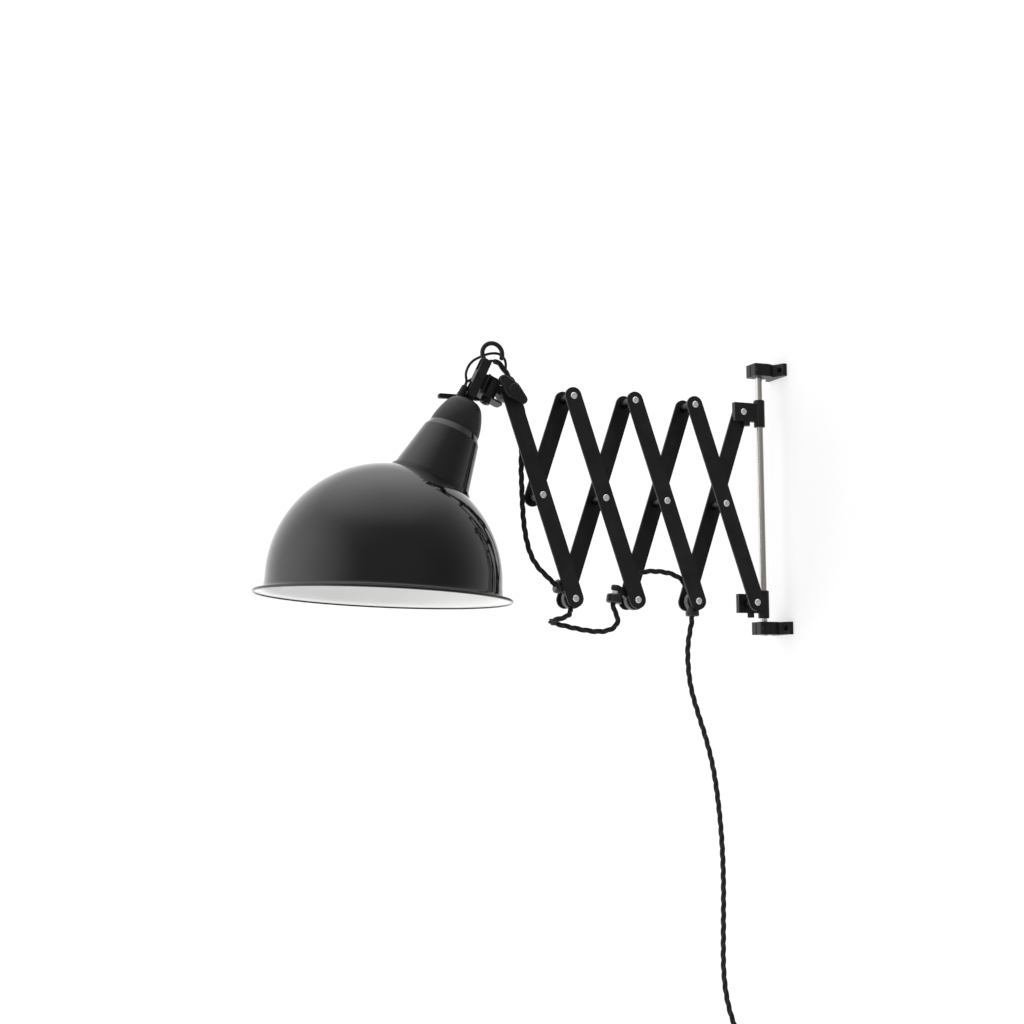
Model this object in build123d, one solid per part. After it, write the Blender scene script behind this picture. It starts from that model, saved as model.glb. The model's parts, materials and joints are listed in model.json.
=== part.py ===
"""Accordion (scissor) wall lamp: wall brackets and guide rod, two carriages, a four-cell scissor arm
of flat bars in two planes, a jointed head, an enamelled shade and its textile flex.

Millimetres. X runs from the arm to the wall (the wall is X = 0, the lamp is at X < 0), +Z is up.
The origin is the centre of the four wall screws. The rod's axis lies in the plane Y = 0.
"""
from build123d import *
import math
import os

# ---------------------------------------------------------------- driving dimensions
# scissor arm
half_bar = 146.0          # from a bar's middle pivot to an end pivot
fold_angle = 18.67        # bars from the vertical, as the lamp is shown
cells = 4                 # front bars
bar_width = 24.0
bar_thickness = 3.0
plane_spacing = 35.0      # between the middles of the front and the back bars
# pivots
pin_diameter = 8.0
pin_head_diameter = 9.2
pin_head_height = 2.6
pin_recess_diameter = 3.8
pin_recess_depth = 0.9
spacer_diameter = 12.0
press_fit = 0.02          # radial, pin in the part that holds it
running_fit = 0.06        # radial, pin in the part that turns on it
side_play = 0.25          # between faces that slide past each other
# wall side
rod_diameter = 10.0
rod_to_wall = 33.0
rod_to_pivot = 29.0
rod_overhang = 1.5
bracket_pitch = 374.0
bracket_height = 18.0
bracket_reach = 46.0
bracket_head_width = 28.0
bracket_waist_width = 19.0
bracket_wall_width = 50.0
bracket_slit = 2.0
clamp_screw_diameter = 4.0
clamp_screw_from_rod = 8.2
wall_hole_diameter = 4.4
wall_head_diameter = 7.8   # counterbore for the screw's head
wall_screw_spacing = 37.0
wall_screw_grip = 6.0
pivot_above_bracket = 35.0
# carriages
sleeve_diameter = 16.0
sleeve_length = 39.5
sleeve_drop = 0.8         # the sleeve's middle below the pivot
block_thickness = 8.0
block_height = 27.0
block_beyond_pivot = 14.0
bolt_diameter = 5.0
bolt_flats = 9.4
bolt_head_height = 6.5
bolt_depth = 12.0
bolt_beside_pivot = 6.8
stop_pin_diameter = 3.0
stop_pin_length = 14.0
# head, in its own axes: u across towards the arm, v up along the neck's axis
head_tilt = 25.3          # neck axis from the vertical
head_from_tilt_pivot_x = -50.1
head_from_tilt_pivot_z = -5.3
head_plane = -13.0        # Y of the middle of the head
fork_width = 13.0
fork_gap = 11.0
fork_sheet = 2.5
fork_height = 54.5
swivel_offset = 22.3
swivel_pin_diameter = 6.0
leaf_thickness = 2.5
leaf_low = 6.0
leaf_high = 33.0
leaf_width = 24.0
leaf_low_reach = 44.0
leaf_high_reach = 32.3
leaf_high_width = 20.4
leaf_corner = 6.0
yoke_block_low = 16.0
drum_gap = 1.2
yoke_screw_up = 27.5
yoke_screw_radius = 2.0
yoke_screw_head_radius = 3.2
yoke_screw_head_height = 1.8
drum_diameter = 19.0
eye_diameter = 22.0
eye_back = -5.0
washer_thickness = 1.5
tilt_bolt_diameter = 6.0
wing_reach = 18.4         # from the bolt's axis to the middle of a lobe
wing_lobe_radius = 6.5
wing_middle_radius = 10.5
wing_thickness = 6.5
wing_boss_height = 3.0
wing_angle = 43.0
hook_wire = 6.2
hook_radius = 14.4
hook_centre_x = -454.0
hook_centre_z = 178.0
hook_start_angle = 200.0
hook_end_angle = -20.0
clevis_pin_diameter = 5.0
clevis_lug_width = 6.0
lever_left = 38.0
lever_right = 26.0
lever_thickness = 6.4
lever_behind = 24.0
# shade
dome_radius = 153.7
dome_centre_down = 280.0  # from the clevis pin along the neck's axis
dome_tilt = 2.7           # dome axis from the vertical
shade_wall = 1.2
skirt_height = 20.0
rim_diameter = 338.0
rim_bead = 4.0
neck_base_diameter = 110.0
neck_top_diameter = 78.0
neck_top_down = 60.0
neck_base_sink = 1.0
cap_base_diameter = 69.0
cap_base_down = 55.0
cap_top_down = 10.0
cap_top_diameter = 27.0
cap_wall = 1.8
ferrule_base_diameter = 13.0
ferrule_top_diameter = 8.4
ferrule_offset = -11.5
ferrule_top = 7.0
ferrule_low = -14.5
ferrule_bore = 7.4
# lampholder inside the neck (E27)
holder_diameter = 40.0
holder_bore = 27.2
holder_length = 48.0
holder_down = 62.0
holder_ring_diameter = 52.0
holder_ring_height = 7.0
insert_height = 12.0
contact_diameter = 9.0
nipple_diameter = 10.0
# flex
flex_diameter = 7.7       # three textile-covered cores twisted together
strand_diameter = 3.6
flex_plane = -19.0        # Y of the hanging stretches, between the two planes of bars
hub_diameter = 27.0
hub_width = 11.0
clip_arm = 9.0
clip_0_mouth = (-367.0, -134.5)
clip_0_direction = (0.97, -0.24)
clip_0_steps = ((19.0, 9.0), (14.0, 9.0))
clip_1_mouth = (-279.8, -156.4)
clip_1_direction = (0.16, 0.987)
clip_1_steps = ((22.0, 12.0), (6.6, 5.0), (13.0, 8.0))
clip_ring_diameter = 10.0
gland_low = -172.6
gland_offset = -3.3
gland_collar_diameter = 19.0
gland_diameter = 15.0
hank_length = 118.0
hank_width = 46.0
hank_top = -770.0
hank_x = -119.0
hank_depth = 40.0
hank_band = 14.0
plug_drop = 45.0
plug_plane = flex_plane + 15.8
plug_body_diameter = 36.0
plug_body_length = 34.0
plug_pin_diameter = 4.8
plug_pin_length = 19.0
plug_pin_spacing = 19.0

# ---------------------------------------------------------------- derived places
fold = math.radians(fold_angle)
cell_pitch = 2 * half_bar * math.sin(fold)
half_height = half_bar * math.cos(fold)
rod_x = -rod_to_wall
pivot_x = rod_x - rod_to_pivot
low_z = -bracket_pitch / 2 + pivot_above_bracket
mid_z = low_z + half_height
high_z = mid_z + half_height
block_back = bar_thickness                       # Y of the carriage blocks' back faces
block_front = block_back - block_thickness
back_bar_y = block_back + side_play + bar_thickness / 2
front_bar_y = back_bar_y - plane_spacing
front_outer = front_bar_y - bar_thickness / 2
front_inner = front_bar_y + bar_thickness / 2
back_inner = back_bar_y - bar_thickness / 2
back_outer = back_bar_y + bar_thickness / 2
pin_radius = pin_diameter / 2


def top(k):
    """Upper pivot of front bar k (0 is the bar that carries the head)."""
    return (pivot_x - (cells - k) * cell_pitch, high_z)


def middle(k):
    """Middle pivot of bars k."""
    return (pivot_x - (cells - k - 0.5) * cell_pitch, mid_z)


def bottom(k):
    """Lower pivot of front bar k."""
    return (pivot_x - (cells - 1 - k) * cell_pitch, low_z)


tilt_x, tilt_z = top(0)
clevis_x = tilt_x + head_from_tilt_pivot_x
clevis_z = tilt_z + head_from_tilt_pivot_z
head = Location((clevis_x, head_plane, clevis_z), (0, head_tilt, 0))
tilt_rad = math.radians(head_tilt)


def head_point(u, v, y=0.0):
    """A point given in the head's axes, in the lamp's frame."""
    return (
        clevis_x + u * math.cos(tilt_rad) + v * math.sin(tilt_rad),
        head_plane + y,
        clevis_z - u * math.sin(tilt_rad) + v * math.cos(tilt_rad),
    )


def in_head(x, z):
    """The head's u and v of a point of the lamp's frame."""
    dx, dz = x - clevis_x, z - clevis_z
    return (
        dx * math.cos(tilt_rad) - dz * math.sin(tilt_rad),
        dx * math.sin(tilt_rad) + dz * math.cos(tilt_rad),
    )


# ---------------------------------------------------------------- helpers
parts = {}


def rod_along_y(radius, y0, y1, x=0.0, z=0.0):
    """A round bar along Y from y0 to y1."""
    length = y1 - y0
    return Pos(x, (y0 + y1) / 2, z) * Rot(90, 0, 0) * Cylinder(radius, length)


def rod_along_z(radius, z0, z1, x=0.0, y=0.0):
    """A round bar along Z from z0 to z1."""
    return Pos(x, y, (z0 + z1) / 2) * Cylinder(radius, z1 - z0)


def rod_along_x(radius, x0, x1, y=0.0, z=0.0):
    """A round bar along X from x0 to x1."""
    return Pos((x0 + x1) / 2, y, z) * Rot(0, 90, 0) * Cylinder(radius, x1 - x0)


def box_between(x0, x1, y0, y1, z0, z1):
    """A box by its two corners."""
    size = Box(x1 - x0, y1 - y0, z1 - z0)
    return Pos((x0 + x1) / 2, (y0 + y1) / 2, (z0 + z1) / 2) * size


def hexagon_rod(flats, z0, z1, x, y):
    """A hexagon bar along Z, measured across its flats."""
    outline = RegularPolygon(flats / math.sqrt(3), 6)
    return Pos(x, y, z0) * extrude(outline, z1 - z0)


def flat_bar(start, end, y_middle, holes):
    """A flat bar with round ends round two pivots; holes lists (x, z, radius)."""
    length = math.dist(start, end)
    centre_x = (start[0] + end[0]) / 2
    centre_z = (start[1] + end[1]) / 2
    face = Plane(
        origin=(centre_x, y_middle - bar_thickness / 2, centre_z),
        x_dir=((end[0] - start[0]) / length, 0, (end[1] - start[1]) / length),
        z_dir=(0, 1, 0),
    )
    body = extrude(face * SlotCenterToCenter(length, bar_width), bar_thickness)
    for x, z, radius in holes:
        body -= rod_along_y(radius, y_middle - bar_thickness, y_middle + bar_thickness, x, z)
    return body


def pin_head(y_face, towards, x, z):
    """A domed rivet head standing on a face, towards -Y (-1) or +Y (1)."""
    y_end = y_face + towards * pin_head_height
    blank = rod_along_y(pin_head_diameter / 2, min(y_face, y_end), max(y_face, y_end), x, z)
    outer = blank.edges().filter_by(GeomType.CIRCLE).sort_by(Axis.Y)
    rim = outer[-1] if towards > 0 else outer[0]
    recess_end = y_end - towards * pin_recess_depth
    recess = rod_along_y(
        pin_recess_diameter / 2, min(y_end, recess_end), max(y_end, recess_end), x, z
    )
    return chamfer(rim, 0.9) - recess


def pin(y_front, y_back, x, z):
    """A pivot pin with a head at each end, between two outer faces."""
    shank = rod_along_y(pin_radius, y_front, y_back, x, z)
    return shank + pin_head(y_front, -1, x, z) + pin_head(y_back, 1, x, z)


def spacer(y_front, y_back, x, z):
    """The tube that keeps the two planes of bars apart."""
    ends = (y_front + side_play / 2, y_back - side_play / 2)
    tube = rod_along_y(spacer_diameter / 2, ends[0], ends[1], x, z)
    return tube - rod_along_y(pin_radius + running_fit, ends[0] - 1, ends[1] + 1, x, z)


def flex_path(points):
    """Straight runs joined by tangent arcs, each as large as its two runs allow."""
    radii = []
    for a, b, c in zip(points, points[1:], points[2:]):
        before = Vector(*b) - Vector(*a)
        after = Vector(*c) - Vector(*b)
        turn = math.radians(before.get_angle(after))
        shorter = min(before.length, after.length)
        radii.append(0.45 * shorter / math.tan(turn / 2))
    return FilletPolyline(*points, radius=radii), radii


def flex(name, points, diameter):
    """A stretch of flex swept along its path; prints its least radius and its volume."""
    path, radii = flex_path(points)
    start = Plane(origin=path @ 0, z_dir=path % 0)
    tube = sweep(start * Circle(diameter / 2), path=path)
    expected = math.pi * diameter ** 2 / 4 * path.length
    print(
        f"{name}: length {path.length:.0f}, radii {min(radii):.0f} to {max(radii):.0f},"
        f" volume {tube.volume / expected:.3f} of section times length"
    )
    return tube


# ---------------------------------------------------------------- wall brackets and rod
def bracket_outline():
    """Plan of a clamp bracket: split head round the rod, waist, and wings on the wall."""
    head_half = bracket_head_width / 2
    waist_half = bracket_waist_width / 2
    wall_half = bracket_wall_width / 2
    shoulder_x = rod_x + head_half * 0.55
    waist_x = -rod_to_wall * 0.45
    wing_x = -wall_screw_grip
    side = [
        Line((-bracket_reach, 0), (-bracket_reach, head_half)),
        Line((-bracket_reach, head_half), (shoulder_x, head_half)),
        Spline(
            (shoulder_x, head_half),
            (waist_x, waist_half),
            (wing_x, wall_half),
            tangents=[(1, 0), (0.35, 1)],
        ),
        Line((wing_x, wall_half), (0, wall_half)),
        Line((0, wall_half), (0, 0)),
        Line((0, 0), (-bracket_reach, 0)),
    ]
    half = make_face(Curve() + side)
    return half + mirror(half, Plane.XZ)


def bracket(z_middle):
    """A clamp bracket with its slit, rod bore, clamp-screw hole and two wall-screw holes."""
    low = z_middle - bracket_height / 2
    high = z_middle + bracket_height / 2
    body = Pos(0, 0, low) * extrude(bracket_outline(), bracket_height)
    corners = body.edges().filter_by(Axis.Z).sort_by(Axis.X)[:2]
    body = fillet(corners, 3.0)
    body -= rod_along_z(rod_diameter / 2 + press_fit, low - 1, high + 1, rod_x)
    slit_end = rod_x + rod_diameter / 2 + 5
    slit = bracket_slit / 2
    body -= box_between(-bracket_reach - 1, slit_end, -slit, slit, low - 1, high + 1)
    clamp_x = rod_x - clamp_screw_from_rod
    body -= rod_along_y(
        clamp_screw_diameter / 2 + press_fit, -bracket_wall_width, bracket_wall_width, clamp_x, z_middle
    )
    for side in (-1, 1):
        y = side * wall_screw_spacing / 2
        body -= rod_along_x(wall_hole_diameter / 2, -bracket_reach, 1, y, z_middle)
        body -= rod_along_x(
            wall_head_diameter / 2, -bracket_reach - 1, -wall_screw_grip, y, z_middle
        )
    return body


def clamp_screw(z_middle):
    """A cheese-head screw that closes a bracket's slit on the rod."""
    half = bracket_head_width / 2
    x = rod_x - clamp_screw_from_rod
    screw = rod_along_y(clamp_screw_diameter / 2, -half, half + 1.5, x, z_middle)
    screw += rod_along_y(3.4, -half - 2.6, -half, x, z_middle)
    screw -= box_between(x - 4, x + 4, -half - 3, -half - 1.6, z_middle - 0.5, z_middle + 0.5)
    return screw


def build_wall_side():
    upper = bracket_pitch / 2
    lower = -bracket_pitch / 2
    parts["upper_wall_bracket"] = bracket(upper)
    parts["lower_wall_bracket"] = bracket(lower)
    parts["bracket_clamp_screws"] = [clamp_screw(upper), clamp_screw(lower)]
    rod_low = lower - bracket_height / 2 - rod_overhang
    rod_high = upper + bracket_height / 2 - rod_overhang
    rod = rod_along_z(rod_diameter / 2, rod_low, rod_high, rod_x)
    rod = chamfer(rod.edges().filter_by(GeomType.CIRCLE), 0.6)
    stop_z = low_z - sleeve_drop - sleeve_length / 2 - side_play - stop_pin_diameter / 2
    stop_radius = stop_pin_diameter / 2
    half = stop_pin_length / 2
    rod -= rod_along_y(stop_radius + press_fit, -half, half, rod_x, stop_z)
    parts["guide_rod"] = rod
    parts["rod_stop_pin"] = rod_along_y(stop_radius, -half, half, rod_x, stop_z)


# ---------------------------------------------------------------- carriages
def carriage(prefix, pivot_z, pivot_fit):
    """A sleeve on the rod, the block welded to it, and the hexagon bolt beside the pivot."""
    middle_z = pivot_z - sleeve_drop
    low = middle_z - sleeve_length / 2
    high = middle_z + sleeve_length / 2
    sleeve = rod_along_z(sleeve_diameter / 2, low, high, rod_x)
    sleeve = chamfer(sleeve.edges().filter_by(GeomType.CIRCLE), 0.8)
    sleeve -= rod_along_z(rod_diameter / 2 + running_fit, low - 1, high + 1, rod_x)
    parts[prefix + "_sleeve"] = sleeve
    block_low = pivot_z - block_height / 2
    block_high = pivot_z + block_height / 2
    block = box_between(
        pivot_x - block_beyond_pivot, rod_x, block_front, block_back, block_low, block_high
    )
    block -= rod_along_z(sleeve_diameter / 2, low - 5, high + 5, rod_x)
    block -= rod_along_y(pin_radius + pivot_fit, block_front - 1, block_back + 1, pivot_x, pivot_z)
    bolt_x = pivot_x + bolt_beside_pivot
    bolt_y = block_back - bolt_flats / 2
    bolt_top = block_low + bolt_depth
    block -= rod_along_z(bolt_diameter / 2 + press_fit, block_low - 1, bolt_top, bolt_x, bolt_y)
    parts[prefix + "_block"] = block
    bolt = rod_along_z(bolt_diameter / 2, block_low, bolt_top, bolt_x, bolt_y)
    bolt += hexagon_rod(bolt_flats, block_low - bolt_head_height, block_low, bolt_x, bolt_y)
    parts[prefix + "_bolt"] = bolt


# ---------------------------------------------------------------- scissor arm
def build_arm():
    tight = pin_radius + press_fit
    loose = pin_radius + running_fit
    for k in range(cells):
        holes = [(*middle(k), tight), (*bottom(k), tight)]
        if k == 0:
            holes.append((*top(k), tilt_bolt_diameter / 2 + running_fit))
        else:
            holes.append((*top(k), tight))
        parts[f"front_bar_{k}"] = flat_bar(top(k), bottom(k), front_bar_y, holes)
        start = middle(0) if k == 0 else bottom(k - 1)
        holes = [(*middle(k), loose), (*top(k + 1), loose)]
        if k > 0:
            holes.append((*bottom(k - 1), loose))
        parts[f"back_bar_{k}"] = flat_bar(start, top(k + 1), back_bar_y, holes)
        places = [middle(k)]
        if k > 0:
            places.append(top(k))
        if k < cells - 1:
            places.append(bottom(k))
        pins = [pin(front_outer, back_outer, *place) for place in places]
        spacers = [spacer(front_inner, back_inner, *place) for place in places]
        if k == cells - 1:
            pins.append(pin(front_outer, block_back, *bottom(k)))
            spacers.append(spacer(front_inner, block_front, *bottom(k)))
        parts[f"pivot_pins_{k}"] = pins
        parts[f"pivot_spacers_{k}"] = spacers
    parts["upper_carriage_pin"] = pin(block_front, back_outer, pivot_x, high_z)


# ---------------------------------------------------------------- head
def wing_screw():
    """Tilt bolt with its wing head in front of the last bar."""
    stand = front_outer - 8.0
    hub = rod_along_y(7.0, stand, front_outer - side_play, tilt_x, tilt_z)
    lean = math.radians(wing_angle)
    face = Plane(
        origin=(tilt_x, stand - wing_thickness, tilt_z),
        x_dir=(math.cos(lean), 0, -math.sin(lean)),
        z_dir=(0, 1, 0),
    )
    rounds = Circle(wing_middle_radius)
    rounds += Pos(-wing_reach, 0) * Circle(wing_lobe_radius)
    rounds += Pos(wing_reach, 0) * Circle(wing_lobe_radius)
    outline = make_hull(rounds.edges())
    wings = extrude(face * outline, wing_thickness)
    wings = chamfer(wings.faces().sort_by(Axis.Y)[0].edges(), 1.4)
    boss = rod_along_y(
        wing_middle_radius - 2.5, stand - wing_thickness - wing_boss_height,
        stand - wing_thickness, tilt_x, tilt_z,
    )
    boss = fillet(boss.edges().filter_by(GeomType.CIRCLE).sort_by(Axis.Y)[0], 2.4)
    bolt = rod_along_y(
        tilt_bolt_diameter / 2, front_outer - side_play, head_plane + eye_back - 4, tilt_x, tilt_z
    )
    return hub + wings + boss + bolt


def knuckle_block():
    """Casting with the tilt eye (along Y) and the swivel drum (along the head's v)."""
    u, v = in_head(tilt_x, tilt_z)
    front = front_inner + washer_thickness + side_play
    back = head_plane + drum_diameter / 2
    eye = rod_along_y(eye_diameter / 2, front, back, tilt_x, tilt_z)
    drum_low = leaf_low + leaf_thickness + side_play
    drum_high = leaf_high - side_play
    drum = head * rod_along_z(drum_diameter / 2, drum_low, drum_high, swivel_offset)
    neck_low = v - eye_diameter * 0.36
    neck = head * box_between(
        swivel_offset, u, -drum_diameter * 0.34, drum_diameter * 0.34, neck_low, drum_high - 2
    )
    body = eye + drum + neck
    body -= head * rod_along_z(
        swivel_pin_diameter / 2 + running_fit, drum_low - 1, drum_high + 1, swivel_offset
    )
    body -= rod_along_y(
        tilt_bolt_diameter / 2 + press_fit, front - 1, head_plane + eye_back - 4, tilt_x, tilt_z
    )
    return body


def swivel_yoke():
    """Yoke: a block between the fork's legs, a plate and two leaves round the knuckle's drum."""
    web_half = fork_gap / 2 - side_play
    plate_end = swivel_offset - drum_diameter / 2 - drum_gap
    plate_start = plate_end - leaf_thickness
    crown = leaf_high + leaf_thickness
    body = box_between(-fork_width / 2, plate_end, -web_half, web_half, yoke_block_low, crown)
    body += box_between(plate_start, plate_end, -leaf_width / 2, leaf_width / 2, leaf_low, crown)
    lower = (leaf_low, leaf_low_reach, leaf_width, leaf_corner)
    upper = (leaf_high, leaf_high_reach, leaf_high_width, leaf_high_width / 2 - 0.1)
    for low, reach, width, corner in (lower, upper):
        leaf = box_between(plate_start, reach, -width / 2, width / 2, low, low + leaf_thickness)
        ends = leaf.edges().filter_by(Axis.Z).sort_by(Axis.X)[2:]
        body += fillet(ends, corner)
    body -= rod_along_z(
        swivel_pin_diameter / 2 + press_fit, leaf_low - 1, crown + 1, swivel_offset
    )
    body -= rod_along_y(yoke_screw_radius + press_fit, -web_half - 1, web_half + 1, 0, yoke_screw_up)
    return head * body


def swivel_pin():
    """Pin through the yoke's leaves with a hexagon nut below."""
    low = leaf_low - 8.0
    high = leaf_high + leaf_thickness
    body = rod_along_z(swivel_pin_diameter / 2, low, high, swivel_offset)
    body += rod_along_z(5.0, high, high + 2.2, swivel_offset)
    body += hexagon_rod(12.0, leaf_low - 6.5, leaf_low, swivel_offset, 0)
    return head * body


def hanger_fork():
    """Folded strap that straddles the cap's lug and carries the cable hook."""
    outer = fork_gap / 2 + fork_sheet
    radius = fork_width / 2
    side = Pos(0, 0, 0) * Circle(radius)
    side += Pos(0, fork_height / 2) * Rectangle(fork_width, fork_height)
    blank = extrude(Plane(origin=(0, outer, 0), x_dir=(1, 0, 0), z_dir=(0, -1, 0)) * side, 2 * outer)
    inner_top = fork_height - fork_sheet
    blank -= box_between(-radius - 1, radius + 1, -fork_gap / 2, fork_gap / 2, -radius - 1, inner_top)
    crown = blank.edges().filter_by(Axis.X).sort_by(Axis.Z)[-2:]
    blank = fillet(crown, fork_sheet * 0.9)
    blank -= rod_along_y(clevis_pin_diameter / 2 + press_fit, -outer - 1, outer + 1)
    blank -= rod_along_y(yoke_screw_radius + press_fit, -outer - 1, outer + 1, 0, yoke_screw_up)
    return head * blank


def yoke_screw():
    """Cross screw that fastens the yoke's web between the fork's legs."""
    outer = fork_gap / 2 + fork_sheet
    body = rod_along_y(yoke_screw_radius, -outer, outer, 0, yoke_screw_up)
    for towards in (-1, 1):
        face = towards * outer
        end = face + towards * yoke_screw_head_height
        body += rod_along_y(
            yoke_screw_head_radius, min(face, end), max(face, end), 0, yoke_screw_up
        )
    return head * body


def hook_place(angle):
    """A point of the hook's ring, angle in degrees from +X towards +Z."""
    turn = math.radians(angle)
    return (
        hook_centre_x + hook_radius * math.cos(turn), head_plane,
        hook_centre_z + hook_radius * math.sin(turn),
    )


def cable_hook():
    """Open ring of round wire, upright on the fork's crown, which leads the flex over the head."""
    first = hook_place(hook_start_angle)
    foot = head_point(-3.6, fork_height)
    stem = Line(foot, first)
    ring = ThreePointArc(first, hook_place(90), hook_place(hook_end_angle))
    start = Plane(origin=foot, z_dir=stem % 0)
    body = sweep(start * Circle(hook_wire / 2), path=stem)
    start = Plane(origin=first, z_dir=ring % 0)
    body += sweep(start * Circle(hook_wire / 2), path=ring)
    body += Pos(first) * Sphere(hook_wire / 2)
    body += Pos(hook_place(hook_end_angle)) * Sphere(hook_wire / 2 + 0.2)
    outer = fork_gap / 2 + fork_sheet
    body -= head * box_between(
        -fork_width, fork_width, -outer, outer, fork_height - fork_sheet - 9, fork_height
    )
    return body


def clevis_bolt():
    """Shade pivot: bolt through the fork and the lug, with a long clamping lever behind."""
    outer = fork_gap / 2 + fork_sheet
    body = rod_along_y(clevis_pin_diameter / 2, -outer, lever_behind - 1)
    body += rod_along_y(5.2, -outer - 2.6, -outer)
    body += rod_along_y(6.0, outer + 0.05, lever_behind - lever_thickness)
    half = lever_thickness / 2
    lever = box_between(
        -lever_left, lever_right, lever_behind - lever_thickness, lever_behind, -half, half
    )
    lever = fillet(lever.edges().filter_by(Axis.Y), 2.2)
    return head * (body + Rot(0, -head_tilt, 0) * lever)


def build_head():
    washer = rod_along_y(
        9.0, front_inner + side_play / 2, front_inner + side_play / 2 + washer_thickness, tilt_x, tilt_z
    )
    washer -= rod_along_y(
        tilt_bolt_diameter / 2 + 0.1, front_inner - 1, front_inner + 4, tilt_x, tilt_z
    )
    parts["tilt_wing_screw"] = [wing_screw(), washer]
    parts["knuckle_block"] = knuckle_block()
    parts["swivel_yoke"] = swivel_yoke()
    parts["swivel_pin"] = swivel_pin()
    parts["hanger_fork"] = hanger_fork()
    parts["yoke_screw"] = yoke_screw()
    parts["cable_hook"] = cable_hook()
    parts["clevis_bolt"] = clevis_bolt()


# ---------------------------------------------------------------- shade
def shade_dome():
    """Hemisphere with a short skirt and a rolled rim, open where the neck joins it."""
    outer = dome_radius
    inner = dome_radius - shade_wall
    rim_radius = rim_diameter / 2
    skirt = -skirt_height
    outline = [
        ThreePointArc(
            (0, outer), (outer * math.sin(math.pi / 4), outer * math.cos(math.pi / 4)), (outer, 0)
        ),
        Line((outer, 0), (outer + 1.0, skirt + 8)),
        ThreePointArc(
            (outer + 1.0, skirt + 8), (outer + 3.6, skirt + 2.6), (outer + 9.0, skirt + shade_wall)
        ),
        Line((outer + 9.0, skirt + shade_wall), (rim_radius - rim_bead / 2, skirt + shade_wall)),
        ThreePointArc(
            (rim_radius - rim_bead / 2, skirt + shade_wall),
            (rim_radius, skirt - rim_bead / 2 + shade_wall),
            (rim_radius - rim_bead / 2, skirt - rim_bead + shade_wall),
        ),
        Line(
            (rim_radius - rim_bead / 2, skirt - rim_bead + shade_wall),
            (rim_radius - rim_bead / 2, skirt),
        ),
        Line((rim_radius - rim_bead / 2, skirt), (outer + 8.4, skirt)),
        ThreePointArc((outer + 8.4, skirt), (inner + 3.0, skirt + 2.2), (inner + 1.0, skirt + 8)),
        Line((inner + 1.0, skirt + 8), (inner, 0)),
        ThreePointArc(
            (inner, 0), (inner * math.sin(math.pi / 4), inner * math.cos(math.pi / 4)), (0, inner)
        ),
        Line((0, inner), (0, outer)),
    ]
    shell = revolve(Plane.XZ * make_face(Curve() + outline), Axis.Z)
    return Pos(0, 0, -dome_centre_down) * Rot(0, dome_tilt - head_tilt, 0) * shell


def neck_radius(v):
    """Outer radius of the conical neck at a height on its axis."""
    base_v = -dome_centre_down + math.sqrt(dome_radius ** 2 - neck_base_diameter ** 2 / 4)
    share = (v - base_v) / (-neck_top_down - base_v)
    return (neck_base_diameter + share * (neck_top_diameter - neck_base_diameter)) / 2


def shade_neck():
    """Conical spun neck with a rounded shoulder, cut to the dome at its foot."""
    foot_v = -dome_centre_down + dome_radius * 0.8
    top_v = -neck_top_down
    low = neck_radius(foot_v)
    high = neck_top_diameter / 2
    seat = cap_base_diameter / 2
    wall = shade_wall
    outline = Polyline(
        (low, foot_v), (high + 0.4, top_v - 4), (seat, -cap_base_down), (seat - 6, -cap_base_down),
        (seat - 6, -cap_base_down - wall), (seat - wall, -cap_base_down - wall),
        (high - wall, top_v - 4), (low - wall, foot_v), (low, foot_v),
    )
    cone = revolve(Plane.XZ * make_face(outline), Axis.Z)
    cone = fillet(cone.edges().filter_by(GeomType.CIRCLE).group_by(Axis.Z)[-2].sort_by(
        lambda edge: edge.radius)[-1:], 3.0)
    centre = Pos(0, 0, -dome_centre_down)
    ball = centre * Sphere(dome_radius + 0.02)
    ring_v = -dome_centre_down + math.sqrt(dome_radius ** 2 - neck_base_diameter ** 2 / 4)
    step = neck_base_diameter / 2
    ring = revolve(
        Plane.XZ * make_face(Polyline(
            (step - 3, ring_v - 6), (step + 3.2, ring_v - 6), (step + 1.4, ring_v + 4.5),
            (step - 3, ring_v + 4.5), (step - 3, ring_v - 6),
        )),
        Axis.Z,
    )
    return (cone + ring) - ball


def holder_cap():
    """Bell-shaped cap over the neck's top."""
    base = cap_base_diameter / 2
    top_radius = cap_top_diameter / 2
    low = -cap_base_down + 0.05
    high = -cap_top_down
    shoulder_v = high - 7.0
    wall = cap_wall
    outer = Spline(
        (base, low), (base - 0.8, low + 9), (base - 8, shoulder_v - 6), (top_radius, high),
        tangents=[(0, 1), (-1, 0.25)],
    )
    inner = Spline(
        (top_radius - 1, high - wall), (base - 8 - wall, shoulder_v - 6 - wall * 0.5),
        (base - 0.8 - wall, low + 8), (base - wall, low), tangents=[(1, -0.25), (0, -1)],
    )
    outline = Curve() + [
        outer,
        Line((top_radius, high), (0, high)),
        Line((0, high), (0, high - wall)),
        Line((0, high - wall), (top_radius - 1, high - wall)),
        inner,
        Line((base - wall, low), (base, low)),
    ]
    cap = revolve(Plane.XZ * make_face(outline), Axis.Z)
    cap -= rod_along_z(ferrule_bore / 2, high - 12, high + 5, ferrule_offset)
    return cap


def cap_lug():
    """Flat lug on the cap that turns between the fork's legs."""
    half = clevis_lug_width / 2
    outline = Circle(6.2) + Pos(0, -cap_top_down / 2) * Rectangle(12.4, cap_top_down)
    lug = extrude(Plane(origin=(0, half, 0), x_dir=(1, 0, 0), z_dir=(0, -1, 0)) * outline, 2 * half)
    return lug - rod_along_y(clevis_pin_diameter / 2 + running_fit, -half - 1, half + 1)


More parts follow.
